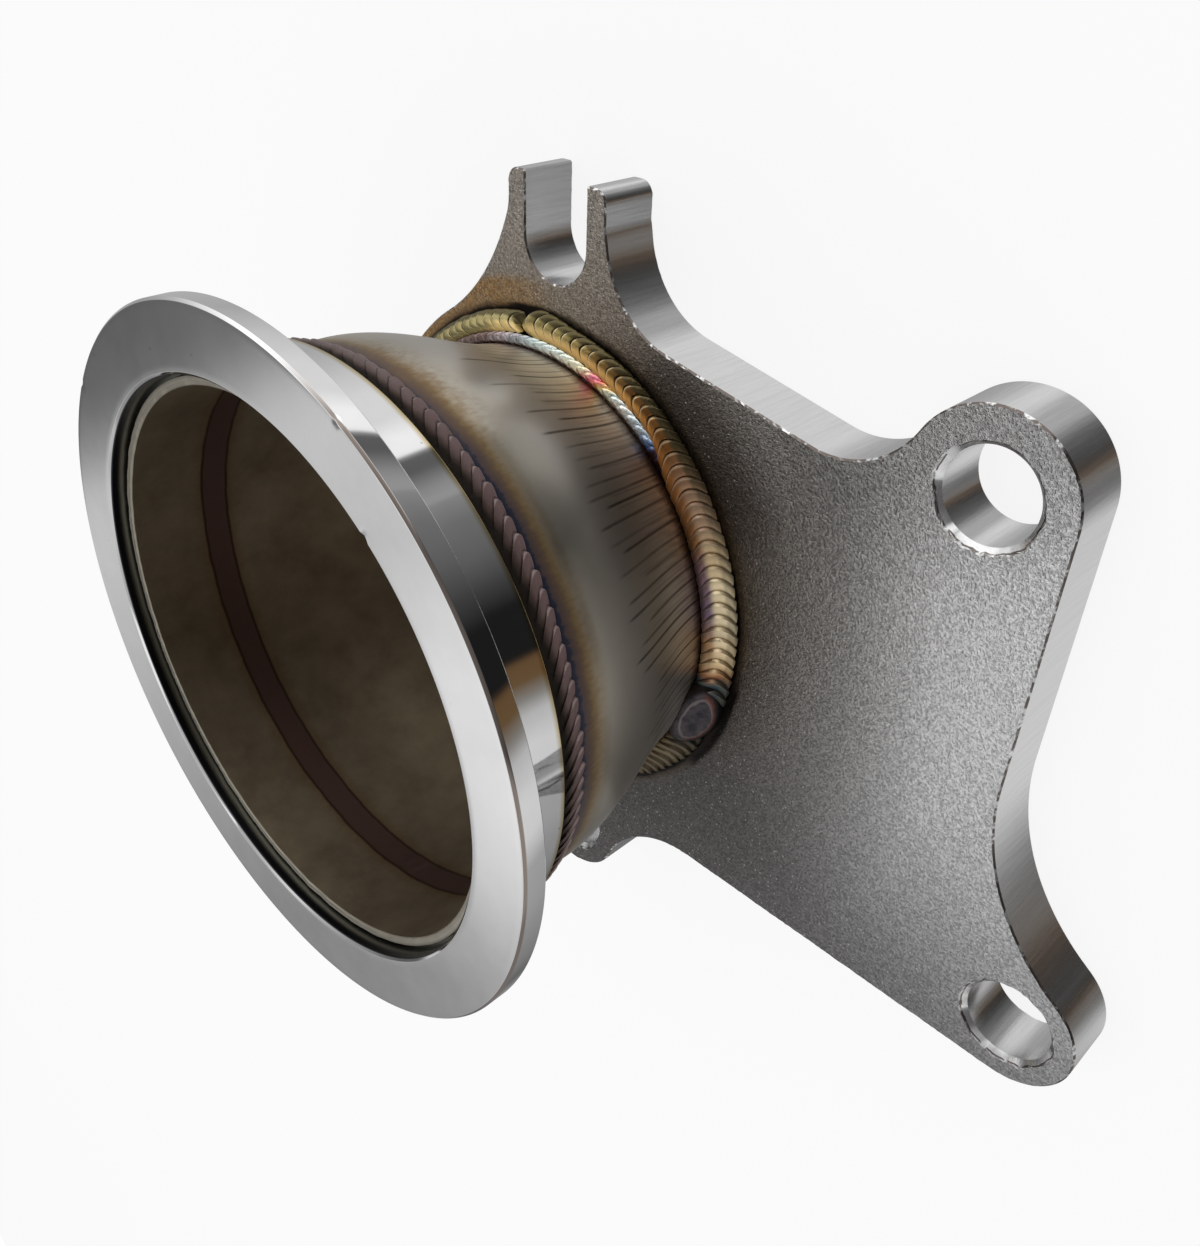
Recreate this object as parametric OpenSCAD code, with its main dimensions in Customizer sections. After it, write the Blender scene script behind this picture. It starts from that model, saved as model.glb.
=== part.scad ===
/* [Flange plate] */
// Thickness of the flange plate
plate_t = 8.5; // [7:0.1:12]
// Width of the plate round the cone, where it has no lugs
port_edge_w = 6.25; // [5.5:0.05:7.5]
// Diameter of the bolt holes and width of the open slot
bolt_d = 11; // [9:0.1:12]
// Bevel round the front of the bolt holes
hole_bevel = 0.8; // [0.2:0.1:1.5]
// How far the cone is let into the plate
seat_depth = 3; // [1.5:0.1:5]

/* [Upper lug] */
// Bolt hole, across from the tube axis
upper_x = 71.3; // [69:0.1:74]
// Bolt hole, up from the tube axis
upper_y = 15.7; // [14:0.1:17]
// Radius of the lug
upper_lug_r = 9.9; // [9:0.1:11]

/* [Lower lug] */
// Bolt hole, across from the tube axis
lower_x = 71; // [69:0.1:73]
// Bolt hole, down from the tube axis
lower_y = 52; // [50:0.1:54]
// Radius of the lug
lower_lug_r = 8.8; // [8.5:0.1:10]

/* [Inner lug] */
// Bolt hole, back across from the tube axis
inner_x = 6.2; // [4:0.1:9]
// Bolt hole, down from the tube axis
inner_y = 47.6; // [46:0.1:50]
// Radius of the lug
inner_lug_r = 8.9; // [8.5:0.1:10]

/* [Slot lug] */
// End of the slot, across from the tube axis
slot_x = 13.3; // [11:0.1:15]
// End of the slot, up from the tube axis
slot_y = 44.2; // [42:0.1:46]
// Lean of the slot away from straight up
slot_lean = 15.5; // [12:0.5:20]
// Radius of the lug below the slot
slot_lug_r = 9.3; // [8.8:0.1:10]
// Half the width of the square end of the lug
slot_end_w = 8.8; // [8:0.1:9.2]
// Length of the square end beyond the end of the slot
slot_end_l = 7.7; // [5:0.1:10]
// Radius on the outer corners of the square end
slot_corner_r = 1.8; // [0.5:0.1:2.2]

/* [Edges between the lugs] */
// Width of the plate between the cone and the straight upper edge
upper_edge_w = 8.2; // [6.8:0.05:9.2]
// Fall of the upper edge towards the upper lug
upper_edge_fall = 26.3; // [24:0.1:28]
// Lean of the right edge, and rise of the bottom edge
edge_lean = 16.3; // [14:0.1:18]
// Hollow between the slot lug and the upper edge
slot_hollow_r = 13; // [11:0.5:15]
// Hollow between the upper edge and the upper lug
upper_hollow_r = 12; // [10:0.5:14]
// Hollow in the right edge, above the lower lug
right_hollow_r = 30; // [20:1:36]
// Hollow in the bottom edge, beside the inner lug
bottom_hollow_r = 17; // [12:1:20]
// Hollow between the inner lug and the plain edge
inner_hollow_r = 20; // [15:1:26]
// Hollow between the plain edge and the slot lug
left_hollow_r = 32; // [26:1:36]

/* [Transition cone] */
// Outside diameter of the tube at the V-band end
tube_d = 76.2; // [75:0.1:77]
// Outside diameter where the cone enters the plate
outlet_d = 63.5; // [60:0.1:65]
// Wall of the cone
cone_wall = 1.2; // [1:0.1:2]
// Length of the straight stretch at the V-band end
straight_l = 19.4; // [17:0.1:24]
// From the front of the plate to the face of the V-band flange
standoff = 47.3; // [44:0.1:60]

/* [V-band flange] */
// Wall of the neck round the tube
neck_wall = 2; // [1.6:0.05:3]
// How far the rim stands out from the neck
rim_reach = 7.05; // [6:0.05:8]
// Thickness of the rim at its edge
rim_t = 2.9; // [2.4:0.1:3.6]
// Slope of the clamping taper behind the rim
taper_angle = 20; // [18:0.5:22]
// Height of the whole flange
vband_h = 12.7; // [11.5:0.1:14]
// Radius between the taper and the neck
neck_fillet = 1; // [0.4:0.1:1.5]
// Bevel at the end of the neck, for the weld
neck_bevel = 0.4; // [0.2:0.1:0.6]
// Broken edge at the outside of the face
face_break = 0.35; // [0.2:0.05:0.8]
// How far the recess at the face is cut into the wall of the neck
recess_cut = 0.4; // [0.2:0.05:0.7]
// Depth of the recess
recess_h = 3.2; // [2.6:0.1:4]
// Chamfer at the mouth of the recess
recess_chamfer = 0.4; // [0.2:0.1:0.8]
// Face of the flange to the end of the tube
tube_inset = 2.1; // [1:0.1:2.4]

/* [Fits] */
// Radial gap round the tube in the neck, and round the cone in the plate
fit_gap = 0.1; // [0.05:0.05:0.3]
// Gap under each weld bead
bead_gap = 0.02; // [0.01:0.01:0.05]

/* [V-band weld] */
// Length of the weld along the tube
rope_leg = 4.3; // [3.6:0.1:5]
// Height of the rope bead above the tube
rope_h = 0.95; // [0.7:0.05:1.2]
// Height of the ripple between the beads
rope_ripple = 0.3; // [0.1:0.05:0.4]
// Distance from bead to bead
rope_pitch = 2.1; // [1.8:0.1:3]

/* [Plate weld] */
// Height of the root pass up the cone
root_leg = 2.2; // [1.8:0.1:3]
// Width of the root pass on the plate
root_w = 1.65; // [1.2:0.05:2.2]
// Height at which it meets the cap pass
root_h = 1.5; // [1.2:0.1:1.8]
// How far the face of the root pass swells
root_belly = 0.1; // [0:0.05:0.3]
// Width of the cap pass on the plate
cap_w = 2.6; // [2.2:0.1:3.4]
// Height of the crown of the cap pass
cap_h = 2; // [1.7:0.05:2.4]
// Height of the ripple between the beads
cap_ripple = 0.35; // [0.1:0.05:0.5]
// Distance from bead to bead
cap_pitch = 1.7; // [1.5:0.1:2.5]
// Where the left run ends under the start of the right run
left_end = 81; // [75:1:90]
// Where the right run ends in its crater
right_end = -33; // [-40:1:-25]
// Where the lower run ends against the left run
lower_end = -150; // [-160:1:-140]

/* [Hidden] */

$fn = 96;
// How far a cutting solid runs past the face it cuts
over = 1;
// Step of the arcs in the outline of the plate
arc_step = 6;
// Points closer than this count as one
same_point = 0.001;
// Steps along the eased cone
ease_steps = 12;
// Steps round a small fillet
fillet_steps = 4;
full_turn = 360;
// An arc round a lug that comes out longer than this has no room
longest_arc = 300;

tube_r = tube_d / 2;
outlet_r = outlet_d / 2;
port_r = outlet_r - cone_wall;
face_z = plate_t + standoff;
tube_top_z = face_z - tube_inset;
ease_top_z = tube_top_z - straight_l;
neck_end_z = face_z - vband_h;
bolt_r = bolt_d / 2;
socket_r = tube_r + fit_gap;
neck_r = socket_r + neck_wall;
root_r = outlet_r + root_w;
toe_r = root_r + cap_w;
port_edge_r = outlet_r + port_edge_w;

upper_c = [upper_x, upper_y];
lower_c = [lower_x, -lower_y];
inner_c = [-inner_x, -inner_y];
slot_c = [slot_x, slot_y];
port_c = [0, 0];

// Unit vector at an angle from the X axis
function heading(a) = [cos(a), sin(a)];

// Centre of a circle of radius r outside two round lugs and touching both
function hollow_between(c1, r1, c2, r2, r) =
    let (
        d = norm(c2 - c1),
        u = (c2 - c1) / d,
        a = r1 + r,
        b = r2 + r,
        x = (d * d + a * a - b * b) / (2 * d),
        h = sqrt(a * a - x * x)
    )
    c1 + x * u + h * [-u.y, u.x];

// Centre of a circle of radius r that touches an edge and a lug, this side of the lug.
// The edge passes through p in direction u, with the open side towards n.
function hollow_on_edge(p, u, n, c, rc, r, side = 1) =
    let (
        base = p + r * n,
        along = (c - base) * u,
        away = (c - base) * n
    )
    base + (along - side * sqrt((rc + r) ^ 2 - away ^ 2)) * u;

// Upper edge: its outward direction, its run and one point on it
upper_n = heading(90 - upper_edge_fall);
upper_u = heading(-upper_edge_fall);
upper_p = (outlet_r + upper_edge_w) * upper_n;
slot_hollow = hollow_on_edge(upper_p, upper_u, upper_n, slot_c, slot_lug_r, slot_hollow_r, -1);
upper_hollow = hollow_on_edge(upper_p, upper_u, upper_n, upper_c, upper_lug_r, upper_hollow_r);

// Right edge, from the upper lug down to the lower one
right_n = heading(-edge_lean);
right_u = heading(-90 - edge_lean);
right_p = upper_c + upper_lug_r * right_n;
right_hollow = hollow_on_edge(right_p, right_u, right_n, lower_c, lower_lug_r, right_hollow_r);

// Bottom edge, from the lower lug back to the inner one
bottom_n = heading(-90 - edge_lean);
bottom_u = heading(180 - edge_lean);
bottom_p = lower_c + lower_lug_r * bottom_n;
bottom_hollow = hollow_on_edge(bottom_p, bottom_u, bottom_n, inner_c, inner_lug_r, bottom_hollow_r);

inner_hollow = hollow_between(inner_c, inner_lug_r, port_c, port_edge_r, inner_hollow_r);
left_hollow = hollow_between(port_c, port_edge_r, slot_c, slot_lug_r, left_hollow_r);

// Direction from one point to another
function angle_to(from, to) = atan2(to.y - from.y, to.x - from.x);

// Points of an arc between two angles, both ends included
function arc(c, r, a, b) =
    let (n = max(2, ceil(abs(b - a) / arc_step)))
    [for (i = [0 : n]) c + r * heading(a + (b - a) * i / n)];

// Arc round a lug, clockwise from facing one point to facing another.
// Points that already come the other way round leave no room for an arc.
function lug_arc(c, r, from, to) =
    let (
        a = angle_to(c, from),
        b = angle_to(c, to),
        end = b > a ? b - full_turn : b
    )
    a - end > longest_arc ? [] : arc(c, r, a, end);

// Arc of a hollow, the other way round
function hollow_arc(c, r, from, to) =
    let (
        a = angle_to(c, from),
        b = angle_to(c, to)
    )
    arc(c, r, a, b < a ? b + full_turn : b);

// Point given across and along the slot, from the centre of its round end
function by_slot(p) =
    slot_c + p.x * heading(-slot_lean) + p.y * heading(90 - slot_lean);

// Square end of the slot lug with the open slot in it, clockwise from its left side
function slot_end() =
    let (
        corner_x = slot_end_w - slot_corner_r,
        corner_y = slot_end_l - slot_corner_r,
        points = concat(
            arc([-corner_x, corner_y], slot_corner_r, 180, 90),
            [[-bolt_r, slot_end_l]],
            arc(port_c, bolt_r, 180, 360),
            [[bolt_r, slot_end_l]],
            arc([corner_x, corner_y], slot_corner_r, 90, 0)
        )
    )
    [for (p = points) by_slot(p)];

// Where the sides of the square end leave the round lug, along the slot
side_rise = sqrt(max(0, slot_lug_r ^ 2 - slot_end_w ^ 2));

// Outline of the plate, clockwise from the slot lug
function lug_outline() = concat(
    lug_arc(slot_c, slot_lug_r, left_hollow, by_slot([-slot_end_w, side_rise])),
    slot_end(),
    lug_arc(slot_c, slot_lug_r, by_slot([slot_end_w, side_rise]), slot_hollow),
    hollow_arc(slot_hollow, slot_hollow_r, slot_c, slot_hollow - upper_n),
    hollow_arc(upper_hollow, upper_hollow_r, upper_hollow - upper_n, upper_c),
    lug_arc(upper_c, upper_lug_r, upper_hollow, right_p),
    hollow_arc(right_hollow, right_hollow_r, right_hollow - right_n, lower_c),
    lug_arc(lower_c, lower_lug_r, right_hollow, bottom_p),
    hollow_arc(bottom_hollow, bottom_hollow_r, bottom_hollow - bottom_n, inner_c),
    lug_arc(inner_c, inner_lug_r, bottom_hollow, inner_hollow),
    hollow_arc(inner_hollow, inner_hollow_r, inner_c, port_c),
    lug_arc(port_c, port_edge_r, inner_hollow, left_hollow),
    hollow_arc(left_hollow, left_hollow_r, port_c, slot_c)
);

// The same points without the double ones where two arcs meet
function single(points) =
    let (n = len(points))
    [for (i = [0 : n - 1]) if (norm(points[i] - points[(i + 1) % n]) > same_point) points[i]];

module plate_outline() {
    difference() {
        polygon(single(lug_outline()));
        for (c = [upper_c, lower_c, inner_c]) translate(c) circle(bolt_r);
    }
}

module flange_plate() {
    color("dimgray") difference() {
        linear_extrude(plate_t) plate_outline();
        translate([0, 0, -over]) cylinder(r = port_r, h = plate_t + 2 * over);
        translate([0, 0, plate_t - seat_depth]) cylinder(r = outlet_r + fit_gap, h = seat_depth + over);
        for (c = [upper_c, lower_c, inner_c]) translate([c.x, c.y, plate_t - hole_bevel])
            cylinder(r1 = bolt_r, r2 = bolt_r + hole_bevel + over, h = hole_bevel + over);
    }
}

// Outer radius of the cone at a height: straight, eased in and out, then straight into the plate
function cone_r(z) =
    let (k = min(1, max(0, (z - plate_t) / (ease_top_z - plate_t))))
    outlet_r + (tube_r - outlet_r) * k * k * (3 - 2 * k);

module transition_cone() {
    eased_z = [for (i = [0 : ease_steps]) plate_t + (ease_top_z - plate_t) * i / ease_steps];
    heights = concat([plate_t - seat_depth], eased_z, [tube_top_z]);
    outside = [for (z = heights) [cone_r(z), z]];
    inside = [for (i = [len(heights) - 1 : -1 : 0]) outside[i] - [cone_wall, 0]];
    color("silver") rotate_extrude() polygon(concat(outside, inside));
}

// Points of an arc of radius r that rounds the corner b between a and c
function rounded(a, b, c, r) =
    let (
        u = (a - b) / norm(a - b),
        v = (c - b) / norm(c - b),
        half = acos(u * v) / 2,
        m = (u + v) / norm(u + v),
        centre = b + m * r / sin(half),
        start = b + u * r / tan(half) - centre,
        end = b + v * r / tan(half) - centre
    )
    [
        for (i = [0 : fillet_steps])
            let (p = start * (1 - i / fillet_steps) + end * i / fillet_steps)
            centre + r * p / norm(p)
    ];

module v_band_flange() {
    rim_r = neck_r + rim_reach;
    recess_r = socket_r + recess_cut;
    rim_back_z = face_z - rim_t;
    rim_back = [rim_r, rim_back_z];
    taper_end = [neck_r, rim_back_z - (rim_r - neck_r) * tan(taper_angle)];
    neck_end = [neck_r, neck_end_z];
    profile = concat(
        [
            [recess_r + recess_chamfer, face_z],
            [recess_r, face_z - recess_chamfer],
            [recess_r, face_z - recess_h],
            [socket_r, face_z - recess_h],
            [socket_r, neck_end_z],
            [neck_r - neck_bevel, neck_end_z],
            [neck_r, neck_end_z + neck_bevel]
        ],
        rounded(neck_end, taper_end, rim_back, neck_fillet),
        [rim_back, [rim_r, face_z - face_break], [rim_r - face_break, face_z]]
    );
    color("gainsboro") rotate_extrude() polygon(profile);
}

// Closed skin over rings of points. A loop has no end faces.
module skin(rings, loop = false) {
    n = len(rings);
    m = len(rings[0]);
    spans = loop ? n : n - 1;
    sides = [
        for (i = [0 : spans - 1], j = [0 : m - 1])
            let (
                a = i * m + j,
                b = i * m + (j + 1) % m,
                c = (i + 1) % n * m + (j + 1) % m,
                d = (i + 1) % n * m + j
            )
            each [[a, b, c], [a, c, d]]
    ];
    near = [for (j = [m - 1 : -1 : 0]) j];
    far = [for (j = [0 : m - 1]) (n - 1) * m + j];
    polyhedron([for (ring = rings) each ring], loop ? sides : concat(sides, [near, far]));
}

// Rings of one bead: where each lies along the bead, and how high it stands between its steps
ring_phase = [0, 0.4, 0.85];
ring_rise = [0, 1, 0.75];
rings_per_bead = len(ring_phase);
// Half the widest space between two rings, as a share of a bead
ring_half_gap = 0.25;

// One point of a section, given as radius and height, at an angle round the tube
function round_tube(p, a) = [p[0] * cos(a), p[0] * sin(a), p[1]];

// Face of the V-band weld from the neck to its toe: shares of the weld's length and of its height
rope_face = [[0.3, 0.75], [0.55, 1], [0.8, 0.8]];

// Section of the V-band weld where the bead stands at a height above the tube
function rope_section(crest, step) =
    let (
        inner = tube_r / cos(step * ring_half_gap) + bead_gap,
        top = neck_end_z - bead_gap,
        foot = neck_end_z - rope_leg
    )
    concat(
        [[inner, foot], [inner, top], [neck_r - neck_bevel, top]],
        [for (p = rope_face) [inner + crest * p[1], neck_end_z - rope_leg * p[0]]]
    );

// How far each point of that section trails behind the crest of the bead, as a share of the pitch
rope_trail = [0.5, 0.5, 0.5, 0.3, 0, 0.2];

module v_band_weld() {
    beads = round(2 * PI * tube_r / rope_pitch);
    step = full_turn / beads;
    rings = [
        for (i = [0 : beads - 1], s = [0 : rings_per_bead - 1])
            let (section = rope_section(rope_h - rope_ripple * (1 - ring_rise[s]), step))
            [
                for (j = [0 : len(section) - 1])
                    round_tube(section[j], -step * (i + ring_phase[s] + rope_trail[j]))
            ]
    ];
    color("saddlebrown") skin(rings, loop = true);
}

module plate_root_weld() {
    inner = outlet_r + bead_gap;
    top_z = plate_t + root_leg;
    color("mediumpurple") rotate_extrude() polygon([
        [inner, plate_t + bead_gap],
        [root_r - bead_gap, plate_t + bead_gap],
        [root_r - bead_gap, plate_t + root_h],
        [(inner + root_r) / 2, plate_t + (root_h + root_leg) / 2 + root_belly],
        [cone_r(top_z) + bead_gap, top_z],
        [cone_r(plate_t + root_leg / 2) + bead_gap, plate_t + root_leg / 2]
    ]);
}

// Face of the cap weld from its toe inwards: shares of the weld's width and of its height
cap_face = [[0.2, 0.55], [0.45, 0.9], [0.75, 1]];

// Section of the cap weld where the crown stands at a height above the plate
function cap_section(crown) =
    let (foot = plate_t + bead_gap)
    concat(
        [[root_r, foot], [toe_r, foot]],
        [for (p = cap_face) [toe_r - cap_w * p[0], plate_t + crown * p[1]]],
        [[root_r, plate_t + root_h]]
    );

// How far each point of that section trails behind the crest of the bead, as a share of the pitch
cap_trail = [0.5, 0.5, 0.15, 0, 0.15, 0.5];

// A run of cap weld from one angle round to a lower one, with its ends laid flat
module cap_run(from, to) {
    middle_r = (root_r + toe_r) / 2;
    beads = round((from - to) / full_turn * 2 * PI * middle_r / cap_pitch);
    step = (from - to) / beads;
    last = beads * rings_per_bead;
    rings = [
        for (k = [0 : last])
            let (
                at_end = k == 0 || k == last,
                s = k % rings_per_bead,
                rise = at_end ? 0 : ring_rise[s],
                phase = floor(k / rings_per_bead) + ring_phase[s],
                bend = k == 0 ? 0 : min(1, beads - phase),
                section = cap_section(cap_h - cap_ripple * (1 - rise))
            )
            [
                for (j = [0 : len(section) - 1])
                    round_tube(section[j], from - step * (phase + bend * cap_trail[j]))
            ]
    ];
    color("darkgoldenrod") skin(rings);
}

// Angle that keeps the ends of two runs apart by the bead gap
end_gap = full_turn * bead_gap / (2 * PI * root_r);

module plate_weld_right() {
    cap_run(left_end, right_end + end_gap);
}

module plate_weld_lower() {
    cap_run(right_end, lower_end + end_gap);
}

module plate_weld_left() {
    cap_run(lower_end + full_turn, left_end + end_gap);
}

flange_plate();
transition_cone();
v_band_flange();
v_band_weld();
plate_root_weld();
plate_weld_right();
plate_weld_lower();
plate_weld_left();
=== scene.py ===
from math import atan2, cos, degrees, exp, hypot, pi, radians, sin, sqrt, tan
from types import SimpleNamespace

import bmesh
import bpy
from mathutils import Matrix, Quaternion, Vector, noise


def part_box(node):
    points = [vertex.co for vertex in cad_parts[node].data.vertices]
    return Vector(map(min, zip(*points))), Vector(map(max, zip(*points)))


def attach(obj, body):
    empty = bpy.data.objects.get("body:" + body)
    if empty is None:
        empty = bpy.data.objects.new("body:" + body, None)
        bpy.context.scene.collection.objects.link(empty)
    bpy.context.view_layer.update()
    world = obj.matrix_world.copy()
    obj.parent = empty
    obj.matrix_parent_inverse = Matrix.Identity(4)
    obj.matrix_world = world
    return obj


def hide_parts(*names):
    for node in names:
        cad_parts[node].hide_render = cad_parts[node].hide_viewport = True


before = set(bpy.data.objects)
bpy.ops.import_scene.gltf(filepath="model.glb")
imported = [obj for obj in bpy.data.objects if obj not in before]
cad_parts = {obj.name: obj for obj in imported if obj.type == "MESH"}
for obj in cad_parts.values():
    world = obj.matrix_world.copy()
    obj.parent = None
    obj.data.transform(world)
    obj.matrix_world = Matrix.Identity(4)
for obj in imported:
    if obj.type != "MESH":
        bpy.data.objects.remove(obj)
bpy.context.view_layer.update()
mm = 0.001  # the frame is in metres, the sizes below are in millimetres

# Heights that the frame gives
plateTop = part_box("flange_plate")[1].z / mm
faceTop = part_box("v_band_flange")[1].z / mm
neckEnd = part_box("v_band_flange")[0].z / mm
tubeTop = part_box("transition_cone")[1].z / mm
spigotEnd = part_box("transition_cone")[0].z / mm
print("frame loaded, plate top", round(plateTop, 2), "face", round(faceTop, 2))


class Val:  # a socket that can stand in a Python expression
    def __init__(self, graph, socket):
        self.graph = graph
        self.socket = socket

    def __add__(self, other):
        return self.graph.maths("ADD", self, other)

    def __radd__(self, other):
        return self.graph.maths("ADD", other, self)

    def __sub__(self, other):
        return self.graph.maths("SUBTRACT", self, other)

    def __rsub__(self, other):
        return self.graph.maths("SUBTRACT", other, self)

    def __mul__(self, other):
        return self.graph.maths("MULTIPLY", self, other)

    def __rmul__(self, other):
        return self.graph.maths("MULTIPLY", other, self)

    def __truediv__(self, other):
        return self.graph.maths("DIVIDE", self, other)


class Graph:  # a node tree of a material, the world or a modifier
    def __init__(self, tree):
        self.tree = tree

    # Any node: its type, its settings, which are set first, then its inputs by name or number
    def node(self, kind, settings=None, inputs=None, out=0):
        made = self.tree.nodes.new(kind)
        for key, value in (settings or {}).items():
            if key == "stops":
                self.setStops(made.color_ramp, value)
            elif key == "curve":
                self.setCurve(made, value)
            else:
                setattr(made, key, value)
        for key, value in (inputs or {}).items():
            self.plug(value, made.inputs[key])
        return Val(self, made.outputs[out])

    def plug(self, value, socket):
        if isinstance(value, Val):
            self.tree.links.new(value.socket, socket)
        else:
            socket.default_value = value

    def setStops(self, ramp, stops):
        while len(ramp.elements) > 1:
            ramp.elements.remove(ramp.elements[-1])
        for i, (place, colour) in enumerate(stops):
            stop = ramp.elements[0] if i == 0 else ramp.elements.new(place)
            stop.position = place
            stop.color = (*colour, 1) if isinstance(colour, tuple) else (colour, colour, colour, 1)

    def setCurve(self, made, points):
        curve = made.mapping.curves[0]
        while len(curve.points) > 2:
            curve.points.remove(curve.points[1])
        curve.points[0].location = points[0]
        curve.points[-1].location = points[-1]
        for point in points[1:-1]:
            curve.points.new(*point)
        made.mapping.update()

    def maths(self, operation, *values):
        return self.node("ShaderNodeMath", {"operation": operation}, dict(enumerate(values)))

    def least(self, one, other):
        return self.maths("MINIMUM", one, other)

    def most(self, one, other):
        return self.maths("MAXIMUM", one, other)

    def ramp(self, value, stops):
        return self.node("ShaderNodeValToRGB", {"stops": stops}, {0: value})

    def mix(self, share, one, other, blend="MIX"):
        settings = {"data_type": "RGBA", "blend_type": blend}
        return self.node("ShaderNodeMix", settings, {0: share, 6: one, 7: other}, out=2)

    # Colours laid over one another, each with its share
    def coat(self, colour, *coats):
        for share, above in coats:
            colour = self.mix(share, colour, (*above, 1))
        return colour

    # 0 below a, 1 above b and smooth between
    def fade(self, value, a, b):
        inputs = {"Value": value, "From Min": a, "From Max": b}
        return self.node("ShaderNodeMapRange", {"interpolation_type": "SMOOTHSTEP"}, inputs)

    # 1 within width of the middle, fading out over soft
    def band(self, value, middle, width, soft):
        away = self.maths("ABSOLUTE", value - middle)
        return 1 - self.fade(away, width, width + soft)

    def split(self, vector):
        made = self.node("ShaderNodeSeparateXYZ", None, {0: vector})
        return [Val(self, output) for output in made.socket.node.outputs]

    def join(self, x, y, z):
        return self.node("ShaderNodeCombineXYZ", None, {0: x, 1: y, 2: z})

    def noise(self, place, scale, detail=3.0, rough=0.5, warp=0.0):
        inputs = {"Vector": place, "Scale": scale, "Detail": detail, "Roughness": rough, "Distortion": warp}
        return self.node("ShaderNodeTexNoise", None, inputs)

    # Distance from the nearest of scattered points
    def cells(self, place, scale):
        return self.node("ShaderNodeTexVoronoi", None, {"Vector": place, "Scale": scale}, out="Distance")

    # The same random share for every place with the same number
    def chance(self, number):
        return self.node("ShaderNodeTexWhiteNoise", {"noise_dimensions": "1D"}, {"W": number}, out="Value")

    def stored(self, name):
        return self.node("ShaderNodeAttribute", {"attribute_name": name}, out="Fac")

    # The node that ends the tree
    def endWith(self, kind, name, value):
        self.plug(value, self.tree.nodes.new(kind).inputs[name])


def grey(level):
    return (level, level, level, 1)


# A metal material: build gets the graph and the place in millimetres, and returns
# colour, roughness, height in millimetres and metallic
def metal(name, build):
    material = bpy.data.materials.new(name)
    material.use_nodes = True
    g = Graph(material.node_tree)
    shader = material.node_tree.nodes["Principled BSDF"]
    objectPlace = g.node("ShaderNodeTexCoord", out="Object")
    settings = {"operation": "SCALE"}
    place = g.node("ShaderNodeVectorMath", settings, {0: objectPlace, "Scale": 1 / mm})
    colour, rough, height, metallic = build(g, place)
    g.plug(colour, shader.inputs["Base Color"])
    g.plug(rough, shader.inputs["Roughness"])
    g.plug(metallic, shader.inputs["Metallic"])
    bump = g.node("ShaderNodeBump", None, {"Strength": 1.0, "Distance": mm, "Height": height})
    g.plug(bump, shader.inputs["Normal"])
    return material


# Distance from the tube axis, angle round it in radians, and height
def roundAxis(g, place):
    x, y, z = g.split(place)
    radius = g.maths("SQRT", x * x + y * y)
    angle = g.maths("ARCTAN2", y, x)
    return radius, angle, z


def addObject(name, data):
    made = bpy.data.objects.new(name, data)
    bpy.context.scene.collection.objects.link(made)
    return made


# A mesh object from vertices in millimetres and faces. Corners above the angle stay sharp.
def meshObject(name, points, faces, material, corner):
    mesh = bpy.data.meshes.new(name)
    mesh.from_pydata([Vector(p) * mm for p in points], [], faces)
    mesh.validate()
    return dress(name, mesh, material, corner)


def dress(name, mesh, material, corner):
    mesh.shade_smooth()
    mesh.set_sharp_from_angle(angle=radians(corner))
    mesh.materials.clear()
    mesh.materials.append(material)
    return addObject(name, mesh)


# Writes a bmesh to its mesh with all faces turned outwards
def writeMesh(bm, mesh):
    bmesh.ops.recalc_face_normals(bm, faces=bm.faces)
    bm.to_mesh(mesh)
    bm.free()


# Turns a closed profile of (radius, height) round the Z axis. shape moves each point.
def lathe(name, profile, turns, material, shape, corner):
    points = []
    for i in range(turns):
        angle = 2 * pi * i / turns
        for radius, height in profile:
            r, z = shape(radius, height, angle)
            points.append((r * cos(angle), r * sin(angle), z))
    count = len(profile)
    faces = []
    for i in range(turns):
        for j in range(count):
            a, b = i * count + j, i * count + (j + 1) % count
            c, d = (i + 1) % turns * count + (j + 1) % count, (i + 1) % turns * count + j
            faces.append((a, d, c, b))
    return meshObject(name, points, faces, material, corner)


# Points of a profile with rounded corners, from corners given as (radius, height, rounding)
def roundCorners(corners, steps=5):
    made = []
    count = len(corners)
    for i, (x, y, rounding) in enumerate(corners):
        here = Vector((x, y))
        if not rounding:
            made.append((x, y))
            continue
        before = (Vector(corners[i - 1][:2]) - here).normalized()
        after = (Vector(corners[(i + 1) % count][:2]) - here).normalized()
        half = before.angle(after) / 2
        centre = here + (before + after).normalized() * rounding / sin(half)
        start = here + before * rounding / tan(half) - centre
        end = here + after * rounding / tan(half) - centre
        for k in range(steps + 1):
            spoke = start.lerp(end, k / steps).normalized() * rounding
            made.append(tuple(centre + spoke))
    return made


def wobble(x, y, z, seed=0):
    return noise.noise(Vector((x + 31.7 * seed, y, z)))


def ease(x):
    x = min(1, max(0, x))
    return x * x * (3 - 2 * x)


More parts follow.
